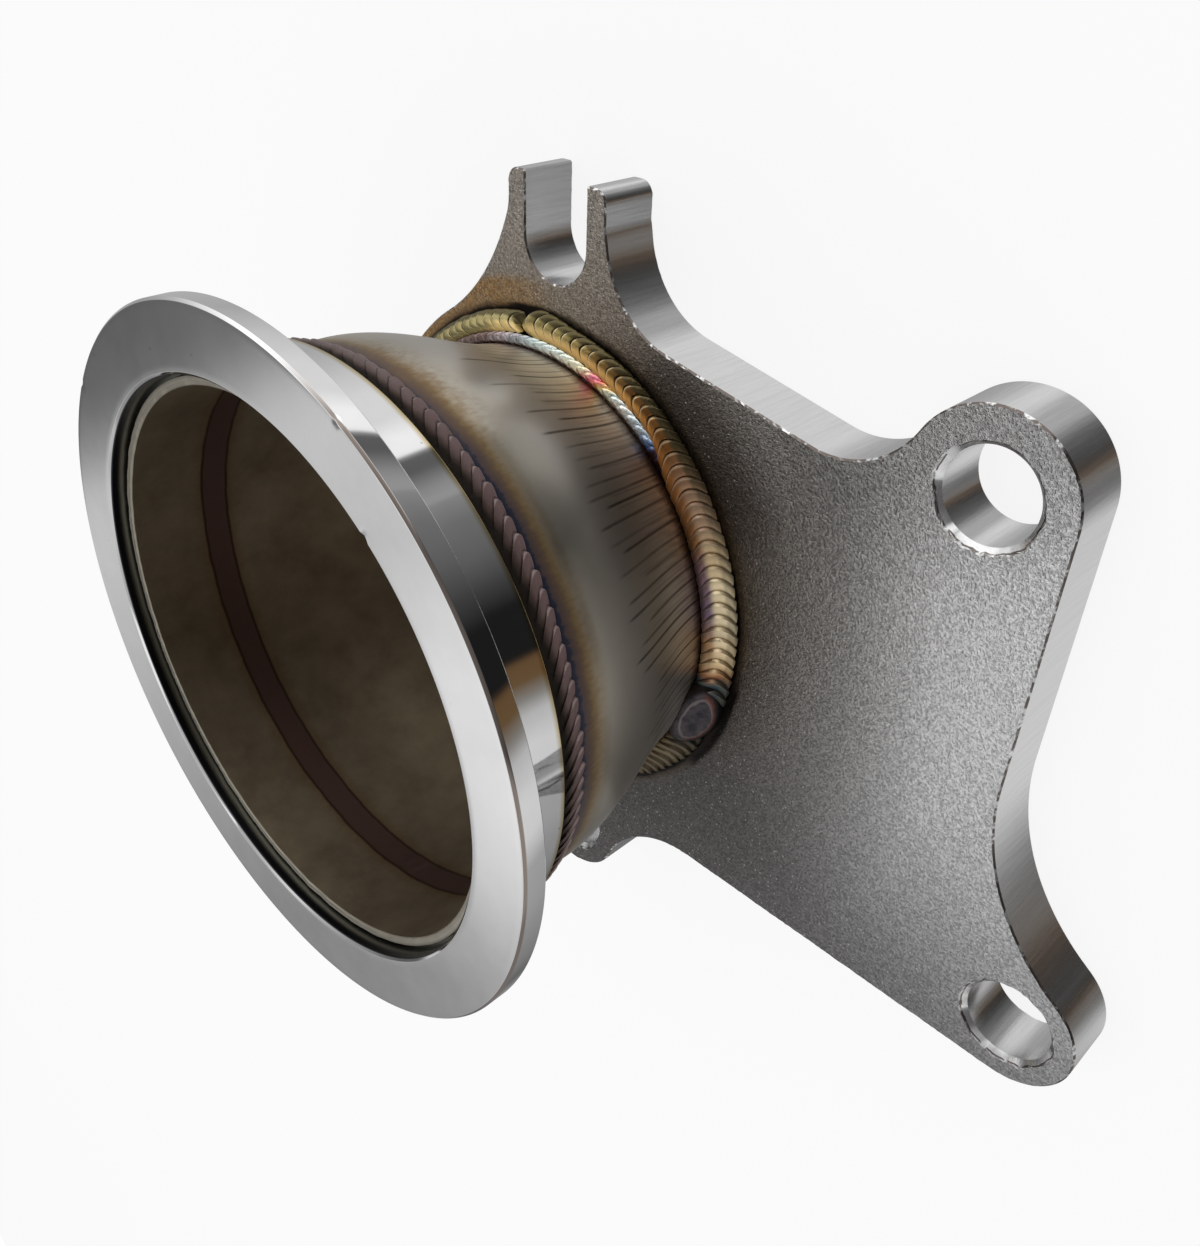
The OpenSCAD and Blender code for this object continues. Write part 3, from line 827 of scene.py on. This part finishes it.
# Finish of the plate: pebbled faces, cut walls with streaks, heat tint and soot round the weld, a painted
# reflection of the cone near it, painted shade on parts of the face and a painted shadow by the right run's
# start
def plateFinish(g, place):
    radius, angle, height = roundAxis(g, place)
    normal = g.node("ShaderNodeNewGeometry", out="True Normal")
    upright = g.maths("ABSOLUTE", g.split(normal)[2])
    onFace = g.fade(upright, 0.75, 0.95)
    pebbles = g.noise(place, 3.0, 2.0, 0.6, 0.2)
    fine = g.noise(place, 6.0, 2.0, 0.5)
    x, y, _ = g.split(place)
    streaks = g.noise(g.join(x * 2.2, y * 2.2, height * 0.12), 1.0, 4.0, 0.6)
    clouds = g.noise(place, 0.09, 3.0, 0.55)
    wander = g.noise(place, 0.3, 2.0, 0.5)
    away = radius - capToe + (wander - 0.5) * 0.6
    warm = g.band(angle, 2.0, 0.45, 0.35) * g.fade(clouds, 0.25, 0.55)
    tintReach = 30
    # Heat tint round the weld with a painted reflection of the dark cone and weld: the face darkens to near
    # black at the weld toe
    tintAndShade = g.ramp(away / tintReach, [
        (0, (0.006, 0.005, 0.004)), (0.012, (0.006, 0.005, 0.005)), (0.024, (0.06, 0.047, 0.036)),
        (0.05, (0.13, 0.105, 0.085)), (0.12, (0.2, 0.178, 0.16)), (0.3, (0.32, 0.302, 0.288)),
        (0.55, (0.43, 0.42, 0.41)), (0.8, (0.64, 0.64, 0.64)), (1, (0.84, 0.845, 0.85)),
    ])
    # Painted shade: the face darker at positive angles round the axis, away from the weld
    sideShade = g.fade(angle, 0.0, 0.32) * g.fade(away, 8, 20)
    # Painted shade: a dark patch close to the weld at about 30 degrees round the axis
    shade = g.band(angle, 0.5, 0.2, 0.25) * (1 - g.fade(away, 4, 13))
    clear = g.fade(away, 0.7, 1.6)
    upper = g.fade(angle, 0.75, 1.25) * clear
    # Painted shade: the face darker on the lower side, round minus 80 degrees
    lowerShade = g.band(angle, -1.4, 0.45, 0.85) * clear
    straw = g.band(away, 2.6, 1.0, 1.6) * warm
    tintAndShade = g.coat(
        tintAndShade, (sideShade * 0.6, (0.19, 0.185, 0.18)), (shade * 0.55, (0.028, 0.022, 0.018)),
        (upper * 0.65, (0.52, 0.46, 0.39)), (lowerShade * 0.9, (0.12, 0.114, 0.111)),
        (straw * 0.85, (0.46, 0.27, 0.1)),
    )
    edgeSteel = g.ramp(streaks, [(0.35, 0.7), (0.65, 0.78)])
    dashes = g.fade(g.noise(place, 0.9, 3.0, 0.6), 0.36, 0.5)
    atArris = g.band(upright, 0.66, 0.1, 0.05) * g.fade(height, plateTop - 0.3, plateTop - 0.22)
    edgeSteel = g.mix(atArris * dashes * 0.9, edgeSteel, (0.085, 0.058, 0.046, 1))
    onTop = g.fade(height, plateTop - 0.5, plateTop - 0.1) * onFace
    tintAndShade = g.mix(1.0, tintAndShade, g.ramp(pebbles, [(0.36, 0.7), (0.64, 1.34)]), "MULTIPLY")
    colour = g.mix(onTop, edgeSteel, tintAndShade)
    # Soot by the crater end of the right run, and at about 80 degrees a painted shadow beside the start
    # bulge of that run
    sootAndShadow = g.band(angle, -0.64, 0.2, 0.1) * (1 - g.fade(away, 1.3, 2.1))
    sootAndShadow = g.most(sootAndShadow, g.band(angle, 1.38, 0.08, 0.08) * (1 - g.fade(away, 0.7, 1.2))) * onTop
    specks = (1 - g.fade(g.cells(place, 1.1), 0.1, 0.16)) * g.fade(away, 0.8, 3.0) * onFace
    colour = g.coat(colour, (sootAndShadow, (0.012, 0.009, 0.008)), (specks * 0.5, (0.85, 0.84, 0.82)))
    rough = 0.34 * onFace + (0.22 + 0.08 * streaks) * (1 - onFace)
    rugged = onFace * g.fade(away, 0.4, 1.6)
    bumps = (pebbles * 0.24 + fine * 0.03) * rugged + streaks * 0.012 * (1 - onFace)
    return colour, rough, bumps, 1.0


# Finish of the cone: satin outside with heat tint and short scratches, smoked inside
def coneFinish(g, place):
    radius, angle, height = roundAxis(g, place)
    wander = g.noise(place, 0.25, 3.0, 0.55)
    fine = g.noise(place, 1.6, 3.0, 0.6)
    grain = g.noise(g.join(angle * 60, height * 0.7, 0.0), 1.0, 3.0, 0.6)
    h = height + (wander - 0.5) * 0.9 + (grain - 0.5) * 1.5
    tintReach, footReach = 10, 6
    below = (neckEnd - rope["leg"] - h) / tintReach
    outer = g.ramp(below, [
        (0, (0.018, 0.021, 0.042)), (0.065, (0.028, 0.031, 0.055)), (0.09, (0.085, 0.06, 0.062)),
        (0.15, (0.115, 0.074, 0.061)), (0.2, (0.15, 0.098, 0.056)), (0.27, (0.255, 0.175, 0.085)),
        (0.37, (0.43, 0.355, 0.255)), (0.52, (0.53, 0.485, 0.41)), (1, (0.54, 0.502, 0.446)),
    ])
    foot = (h - plateTop - cap["rootLeg"]) / footReach
    lower = g.ramp(foot, [
        (0, (0.06, 0.036, 0.026)), (0.12, (0.2, 0.14, 0.1)), (0.35, (0.66, 0.59, 0.51)),
        (1, (0.78, 0.74, 0.68)),
    ])
    smear = g.band(angle, 1.1, 0.14, 0.25) * g.band(below, 0.28, 0.15, 0.35)
    smear = smear * g.fade(grain + wander, 0.7, 1.35)
    outer = g.mix(smear * 0.55, outer, (0.24, 0.135, 0.055, 1))
    outside = g.mix(g.fade(h, 14, 22), lower, outer)
    trace = neckEnd - cone["weldBack"]
    near = height + (wander - 0.5) * 0.5
    inBand = g.band(near, trace, 1.5, 0.35)
    halo = g.band(h, trace, 1.6, 2.6)
    bandEdge = g.band(near, trace, 1.9, 0.4) * (1 - inBand)
    stains = g.noise(place, 0.12, 5.0, 0.65)
    smoke = g.ramp(stains, [(0.3, (0.19, 0.148, 0.098)), (0.7, (0.3, 0.245, 0.17))])
    smoke = g.coat(
        smoke, (halo * 0.6, (0.19, 0.11, 0.05)), (inBand * 0.85, (0.115, 0.066, 0.062)),
        (bandEdge * 0.9, (0.04, 0.02, 0.02)),
    )
    isInside = g.fade(coneWallMiddle(g, height) - radius, -0.05, 0.05)
    atEnd = g.fade(height, tubeTop - 0.35, tubeTop - 0.1)
    colour = g.mix(isInside, outside, smoke)
    scratch = lines(g, angle, height, 1.9, 0.15, 23.0) + lines(g, angle, height, 0.8, 0.25, 18.0) * 0.35
    scratch = g.least(scratch, 1.0) * (1 - isInside) * g.band(angle, 0.3, 1.1, 0.3)
    colour = g.coat(colour, (atEnd, (0.4, 0.37, 0.31)), (scratch * 0.8, (0.06, 0.045, 0.035)))
    stained = 1 - g.fade(below, 0.18, 0.43)
    satin = g.most(1 - g.fade(height, 18, 34), stained) * (1 - isInside)
    rough = 0.285 + 0.03 * fine + 0.12 * satin + 0.24 * isInside
    bumps = fine * 0.012 + grain * 0.004 - scratch * 0.02
    return colour, rough, bumps, 1 - 0.5 * stained * (1 - isInside)


# Scratches along the tube, one in each stripe round it, each with its own length and strength
def lines(g, angle, height, spacing, width, reach):
    stripe = angle * (cone["tube"] / spacing) + 0.02 * height
    which = g.maths("FLOOR", stripe)
    chance = g.chance(which + spacing)
    other = g.chance(which * 1.7 + 5)
    off = g.maths("ABSOLUTE", stripe - which - 0.3 - 0.4 * other)
    thin = 1 - g.fade(off, width * 0.3, width)
    start = reach + 7 * (chance - 0.4)
    return thin * (1 - g.fade(height, start, start + 2)) * g.fade(height, 9.5, 12) * (0.35 + 0.65 * other)


# Radius of the middle of the cone's wall at a height
def coneWallMiddle(g, height):
    k = g.fade(height, plateTop, easeTop)
    return cone["outlet"] - cone["wall"] / 2 + (cone["tube"] - cone["outlet"]) * k


# Finish of the V-band flange: turned face with fine grooves, mirror rim and neck, and painted shade on the
# recess wall
def flangeFinish(g, place):
    radius, angle, height = roundAxis(g, place)
    onFace = g.fade(height, faceTop - 0.06, faceTop - 0.02)
    recess, rim = flange["recess"], flange["rim"]
    inRecess = (1 - g.fade(radius, recess + 0.08, recess + 0.2)) * (1 - onFace)
    grooves = g.noise(g.join(radius * 5.0, 0.0, 0.0), 1.0, 2.0, 0.5)
    haze = g.noise(place, 0.16, 3.0, 0.6)
    pit = g.cells(place, 0.33)
    pits = (1 - g.fade(pit, 0.03, 0.07)) * g.fade(g.noise(place, 0.11, 1.0, 0.5), 0.5, 0.6)
    steel = g.ramp(haze, [(0.3, 0.82), (0.7, 0.88)])
    edge = neckEnd + 0.35 + (haze - 0.5) * 0.5
    gold = 1 - g.fade(height, edge, edge + 0.9)
    brokenEdge = g.fade(radius, rim - 0.38, rim - 0.28) * g.fade(height, faceTop - 0.42, faceTop - 0.3)
    oxide = brokenEdge * g.band(angle, 0.0, 0.8, 0.35) * (1 - onFace)
    colour = g.coat(
        steel, (pits * 0.6, (0.1, 0.09, 0.08)), (gold * 0.9, (0.52, 0.4, 0.16)),
        (oxide * 0.85, (0.13, 0.085, 0.06)),
    )
    # Painted shade on the recess wall: near black just under the face, grey-green further down
    deep = g.fade(height, faceTop - 1.7, faceTop - 1.0)
    recessShade = g.mix(deep, (0.22, 0.22, 0.19, 1), (0.03, 0.03, 0.036, 1))
    colour = g.mix(inRecess, colour, recessShade)
    rough = 0.035 + 0.1 * onFace + 0.25 * inRecess + 0.03 * haze
    return colour, rough, grooves * 0.0015 * onFace, 1.0


# Finish of the V-band weld: black groove at the neck, mauve rope, navy at the toe, a painted highlight
# along the cone-side edge, painted highlights on the crests and painted shade between the ripples
def ropeFinish(g, place):
    across, valley, chance = g.stored("across"), g.stored("valley"), g.stored("chance")
    blotch = g.noise(place, 0.5, 3.0, 0.6)
    # The lighter stop at 0.07, by the cone-side toe, is a painted highlight along that edge
    colour = g.ramp(across + (blotch - 0.5) * 0.12, [
        (0, (0.04, 0.046, 0.11)), (0.03, (0.09, 0.075, 0.13)), (0.07, (0.27, 0.195, 0.19)),
        (0.14, (0.2, 0.13, 0.128)), (0.35, (0.17, 0.108, 0.105)), (0.5, (0.125, 0.078, 0.07)),
        (0.58, (0.06, 0.034, 0.026)), (0.66, (0.014, 0.008, 0.005)), (0.92, (0.014, 0.008, 0.005)),
        (1, (0.12, 0.07, 0.02)),
    ])
    onBead = g.band(across, 0.28, 0.24, 0.06)
    # Painted highlights on the ripple crests and painted shade in the valleys between them
    crest = g.fade(g.stored("crest"), 0.35, 0.9)
    gap = g.fade(valley, 0.35, 0.9) * onBead
    crestHighlight = (0.46, 0.37, 0.35)
    colour = g.coat(colour, (gap * 0.7, (0.06, 0.038, 0.04)), (crest * onBead * 0.5, crestHighlight))
    rough = 0.38 + 0.12 * blotch + 0.05 * chance + 0.4 * g.fade(across, 0.52, 0.64)
    return colour, rough, g.noise(place, 3.0, 2.0, 0.5) * 0.03, 0.2


# Finish of the root pass: bright heat colours, partly a painted highlight, that run along it, brown further
# round, with painted shade between the ripples
def rootFinish(g, place):
    across = g.stored("across")
    _, angle, _ = roundAxis(g, place)
    drift = g.noise(place, 0.9, 2.0, 0.5)
    at = angle / (2 * pi) + 0.5 + (drift - 0.5) * 0.012 + (across - 0.5) * 0.01
    # Heat colours along the strip; its near-white stops are partly a painted highlight
    colour = g.ramp(at, [
        (0.59, (0.12, 0.08, 0.18)), (0.598, (0.2, 0.38, 0.85)), (0.606, (0.45, 0.54, 0.64)),
        (0.618, (0.66, 0.76, 0.82)), (0.63, (0.97, 0.98, 0.94)), (0.64, (0.76, 0.9, 0.9)),
        (0.645, (0.98, 0.84, 0.45)), (0.65, (0.98, 0.5, 0.2)), (0.655, (0.92, 0.12, 0.34)),
        (0.66, (0.95, 0.52, 0.45)), (0.667, (0.98, 0.92, 0.66)), (0.69, (0.88, 0.98, 0.94)),
        (0.712, (0.76, 0.9, 0.9)), (0.728, (0.46, 0.48, 0.52)), (0.742, (0.66, 0.58, 0.62)),
        (0.76, (0.34, 0.24, 0.22)),
    ])
    crest = g.stored("crest")
    # Painted shade away from the ripple crests
    colour = g.mix((1 - crest) * 0.35, colour, (0.55, 0.5, 0.42, 1), "MULTIPLY")
    lit = g.fade(angle, 0.58, 0.63) * (1 - g.fade(angle, 1.8, 1.95))
    dull = g.mix(g.fade(drift, 0.45, 0.6), (0.06, 0.03, 0.03, 1), (0.07, 0.06, 0.15, 1))
    colour = g.mix(lit, dull, colour)
    colour = g.mix(1 - g.fade(across, 0.05, 0.25), colour, (0.06, 0.035, 0.028, 1))
    return colour, 0.16 + 0.1 * drift, g.noise(place, 2.6, 3.0, 0.6) * 0.1, 1.0


# Finish of the cap runs: gold and bronze ripples, blue and sooty at the crater, with painted highlights on
# the crests and the upper inner edge and painted shade between the ripples
def capFinish(g, place):
    across, valley, chance = g.stored("across"), g.stored("valley"), g.stored("chance")
    _, angle, _ = roundAxis(g, place)
    drift = g.noise(place, 0.22, 2.0, 0.5)
    crest = g.stored("crest")
    at = angle / (2 * pi) + 0.5 + (drift - 0.5) * 0.016
    colour = g.ramp(at, [
        (0, (0.3, 0.25, 0.13)), (0.365, (0.22, 0.17, 0.09)), (0.378, (0.015, 0.012, 0.012)),
        (0.42, (0.02, 0.02, 0.024)), (0.434, (0.05, 0.09, 0.105)), (0.441, (0.3, 0.11, 0.035)),
        (0.45, (0.74, 0.54, 0.3)), (0.475, (0.84, 0.72, 0.5)), (0.505, (0.8, 0.66, 0.42)),
        (0.525, (0.62, 0.47, 0.28)), (0.54, (0.42, 0.28, 0.18)), (0.565, (0.38, 0.23, 0.14)),
        (0.59, (0.24, 0.1, 0.028)), (0.625, (0.22, 0.1, 0.03)), (0.66, (0.3, 0.19, 0.065)),
        (0.685, (0.36, 0.29, 0.11)), (0.74, (0.36, 0.31, 0.14)), (1, (0.33, 0.285, 0.145)),
    ])
    crestHighlight = g.ramp(at, [
        (0.42, (0.1, 0.1, 0.12)), (0.445, (0.7, 0.48, 0.26)), (0.5, (0.98, 0.9, 0.7)),
        (0.56, (0.78, 0.58, 0.44)), (0.61, (0.9, 0.68, 0.38)), (0.67, (1.0, 0.86, 0.52)),
        (0.74, (0.95, 0.86, 0.52)),
    ])
    colour = g.mix(chance * 0.3, colour, (0.6, 0.5, 0.36, 1), "MULTIPLY")
    early = g.fade(at, 0.53, 0.6)
    # Painted shade in the valleys between the ripples, stronger in the upper part
    gap = g.fade(valley + early * 0.35, 0.5, 0.9)
    colour = g.mix(gap * (0.4 + 0.6 * early), colour, (0.035, 0.015, 0.006, 1))
    # Heat colours along the inner edge; its bright orange and yellow upper part is partly a painted
    # highlight, helped by less metallic there
    inner = g.ramp(at, [
        (0.44, (0.05, 0.02, 0.02)), (0.465, (0.4, 0.2, 0.08)), (0.485, (0.1, 0.05, 0.16)),
        (0.515, (0.14, 0.06, 0.12)), (0.53, (0.2, 0.075, 0.015)), (0.595, (0.4, 0.15, 0.025)),
        (0.63, (0.85, 0.42, 0.1)), (0.72, (0.98, 0.72, 0.28)),
    ])
    rim = (1 - g.fade(across, 0.26, 0.5)) * g.fade(at, 0.44, 0.46) * g.fade(0.765 - at, 0.0, 0.02)
    colour = g.mix(rim * 0.85 * (1 - 0.8 * gap * early), colour, inner)
    # Painted highlights on the ripple crests, stronger in the upper part
    colour = g.mix(crest * (0.55 + 0.3 * chance) * (0.5 + 0.8 * early), colour, crestHighlight)
    toe = g.fade(across + early * 0.08 - crest * 0.08, 0.68, 0.8)
    colour = g.mix(toe * (0.45 + 0.47 * early), colour, (0.085, 0.07, 0.034, 1))
    rough = 0.34 + 0.1 * chance - 0.16 * early
    metallic = 0.7 + 0.2 * early - 0.65 * g.most(rim, crest) * early
    return colour, rough, g.noise(place, 2.6, 2.0, 0.5) * 0.03, metallic


# Finish of the crater: mauve-grey dish with a red-brown rim
def craterFinish(g, place):
    radius, _, _ = roundAxis(g, place)
    blotch = g.noise(place, 0.7, 3.0, 0.6)
    share = g.stored("share") + (blotch - 0.5) * 0.12
    colour = g.ramp(blotch, [(0.35, (0.024, 0.022, 0.028)), (0.65, (0.075, 0.064, 0.07))])
    outer = g.fade(radius, crater["radius"] + 0.4, crater["radius"] + 1.4)
    colour = g.mix(g.band(share, 0.6, 0.02, 0.04) * 0.18, colour, (0.6, 0.5, 0.48, 1))
    colour = g.mix(g.fade(share, 0.56, 0.66) * outer, colour, (0.13, 0.045, 0.034, 1))
    colour = g.mix(g.fade(share + outer * 0.12, 0.74, 0.88), colour, (0.02, 0.015, 0.015, 1))
    return colour, 0.36 + 0.1 * blotch, blotch * 0.1, 0.85


# Light, floor and the room that the metal mirrors
room = {
    "lamp": (-0.15, -0.12, 0.9),
    "lampSize": 0.8, "lampPower": 1.0,
    "lampAim": (0.02, 0, 0.02),
    "fill": 0.75,  # level of the light from all round
    "floorSize": 4.0,
    "floorDrop": 0.05 * mm,
    "floorTone": 0.9, "floorGlow": 0.85,
    # Level of the room at four heights, by direction as a share of a turn from -X
    "ground": [
        (0.0, 0.35), (0.167, 0.55), (0.236, 0.76), (0.306, 0.76), (0.361, 0.38), (0.394, 0.14),
        (0.45, 0.16), (0.465, 0.34), (0.478, (0.17, 0.115, 0.07)), (0.5, (0.1, 0.062, 0.036)),
        (0.522, 0.045), (0.583, 0.1), (0.625, 0.14), (0.653, 0.3), (0.675, 0.6), (0.7, 0.5),
        (0.733, 0.42), (0.755, 0.52), (0.778, 0.84), (0.82, 0.84), (0.903, 0.5), (1.0, 0.35),
    ],
    "low": [
        (0.0, 0.4), (0.083, 0.4), (0.139, 0.25), (0.175, 0.134), (0.203, 0.205), (0.264, 0.3),
        (0.294, 0.354), (0.325, 0.38), (0.356, 0.66), (0.389, 0.68), (0.422, 0.51),
        (0.439, (0.23, 0.216, 0.198)), (0.456, (0.138, 0.083, 0.039)), (0.475, (0.13, 0.075, 0.035)),
        (0.482, 0.012), (0.533, 0.012), (0.561, 0.056), (0.594, 0.123), (0.631, 0.17), (0.656, 0.25),
        (0.661, 0.333), (0.675, 0.28), (0.697, 0.11), (0.714, 0.12), (0.719, 0.98), (0.74, 0.98),
        (0.764, 0.76), (0.797, 0.76), (0.828, 0.66), (0.858, 0.54), (0.903, 0.43), (1.0, 0.44),
    ],
    "middle": [
        (0.0, 0.11), (0.02, 0.12), (0.026, 0.235), (0.033, 0.62), (0.047, 0.56), (0.069, 0.37),
        (0.092, 0.24), (0.114, 0.25), (0.153, 0.35), (0.194, 0.5), (0.25, 0.6), (0.333, 0.7), (0.385, 0.5),
        (0.41, 0.1), (0.62, 0.1), (0.64, 1.4), (0.847, 1.4), (0.917, 0.5), (0.972, 0.2), (1.0, 0.11),
    ],
    "high": [
        (0.0, 0.13), (0.018, 0.17), (0.028, 0.66), (0.05, 0.56), (0.075, 0.84), (0.103, 0.9),
        (0.125, 0.56), (0.2, 0.5), (0.27, 0.9), (0.375, 1.0), (0.403, 0.12), (0.62, 0.12), (0.64, 1.4),
        (0.847, 1.4), (0.9, 0.5), (0.96, 0.25), (1.0, 0.13),
    ],
    "bands": [("low", -0.7, -0.62), ("middle", -0.2, 0.1), ("high", 0.39, 0.46)],  # where each one fades in
    "top": 0.42,
    "topFade": (0.62, 0.9),
}


def buildRoom():
    world = bpy.data.worlds.new("room")
    bpy.context.scene.world = world
    world.use_nodes = True
    world.node_tree.nodes.clear()
    g = Graph(world.node_tree)
    x, y, z = g.split(g.node("ShaderNodeTexCoord", out="Generated"))
    turn = g.maths("ARCTAN2", y, x) / (2 * pi) + 0.5
    mirrored = g.ramp(turn, room["ground"])
    for key, a, b in room["bands"]:
        mirrored = g.mix(g.fade(z, a, b), mirrored, g.ramp(turn, room[key]))
    mirrored = g.mix(g.fade(z, *room["topFade"]), mirrored, grey(room["top"]))
    rays = g.node("ShaderNodeLightPath").socket.node.outputs
    gloss = g.most(Val(g, rays["Is Glossy Ray"]), Val(g, rays["Is Transmission Ray"]))
    lit = g.mix(gloss, grey(room["fill"]), mirrored)
    colour = g.mix(Val(g, rays["Is Camera Ray"]), lit, grey(1.0))
    sky = g.node("ShaderNodeBackground", None, {"Color": colour, "Strength": 1.0})
    g.endWith("ShaderNodeOutputWorld", "Surface", sky)

    lampData = bpy.data.lights.new("softbox", "AREA")
    lampData.shape = "SQUARE"
    lampData.size = room["lampSize"]
    lampData.energy = room["lampPower"]
    lamp = addObject("softbox", lampData)
    lamp.location = room["lamp"]
    lamp.rotation_euler = (Vector(room["lampAim"]) - lamp.location).to_track_quat("-Z", "Y").to_euler()


def buildFloor():
    half, level = room["floorSize"] / 2, -room["floorDrop"]
    corners = [(-half, -half, level), (half, -half, level), (half, half, level), (-half, half, level)]
    mesh = bpy.data.meshes.new("floor")
    mesh.from_pydata(corners, [], [(0, 1, 2, 3)])
    floor = addObject("floor", mesh)
    floor.visible_glossy = False
    material = bpy.data.materials.new("paleFloor")
    material.use_nodes = True
    material.node_tree.nodes.clear()
    g = Graph(material.node_tree)
    rays = g.node("ShaderNodeLightPath").socket.node.outputs
    pale = g.node("ShaderNodeBsdfDiffuse", None, {"Color": grey(room["floorTone"])})
    white = g.node("ShaderNodeEmission", None, {"Color": grey(1.0), "Strength": 1.0})
    share = Val(g, rays["Is Camera Ray"]) * room["floorGlow"]
    surface = g.node("ShaderNodeMixShader", None, {0: share, 1: pale, 2: white})
    g.endWith("ShaderNodeOutputMaterial", "Surface", surface)
    mesh.materials.append(material)


# Camera: place and aim in millimetres from the face of the flange
view = {
    "place": (129.39, 55.13, 56.35),
    "aim": (27.66, 0.51, -31.36),
    "roll": -118.0, "lens": 33.92, "sensor": 36.0, "nearest": 0.005,
}


def buildCamera():
    scene = bpy.context.scene
    data = bpy.data.cameras.new("camera")
    data.lens = view["lens"]
    data.sensor_width = view["sensor"]
    data.sensor_fit = "AUTO"
    data.clip_start = view["nearest"]
    camera = addObject("camera", data)
    lift = Vector((0, 0, faceTop))
    place = (Vector(view["place"]) + lift) * mm
    aim = (Vector(view["aim"]) + lift) * mm
    camera.rotation_mode = "QUATERNION"
    camera.location = place
    turned = Quaternion((0, 0, 1), radians(view["roll"]))
    camera.rotation_quaternion = (aim - place).to_track_quat("-Z", "Y") @ turned
    scene.camera = camera
    scene.view_settings.view_transform = "Standard"


buildCamera()
buildRoom()
buildFloor()
print("room and camera ready")

plateSteel = metal("plateSteel", plateFinish)
tubeSteel = metal("tubeSteel", coneFinish)
turnedSteel = metal("turnedSteel", flangeFinish)
ropeColours = metal("ropeColours", ropeFinish)
rootColours = metal("rootColours", rootFinish)
capColours = metal("capColours", capFinish)
craterColours = metal("craterColours", craterFinish)
print("finishes ready")

capRun = weldTree("capRun", cap["crown"])
made = [
    (buildPlate(plateSteel), "flange_plate", "plate_steel"),
    (buildCone(tubeSteel), "transition_cone", "tube_steel"),
    (buildFlange(turnedSteel), "v_band_flange", "turned_steel"),
    (buildRope(ropeColours), "v_band_weld", "rope_weld"),
    (buildRoot(rootColours), "plate_root_weld", "root_weld"),
    (buildCap("right", capRun, capColours), "plate_weld_right", "cap_weld"),
    (buildCrater(craterColours), "plate_weld_right", "cap_weld"),
    (buildCap("lower", capRun, capColours), "plate_weld_lower", "cap_weld"),
    (buildCap("left", capRun, capColours), "plate_weld_left", "cap_weld"),
]
for piece, node, slotName in made:
    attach(piece, "root")
    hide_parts(node)
    print(piece.name, len(piece.data.polygons), "faces")
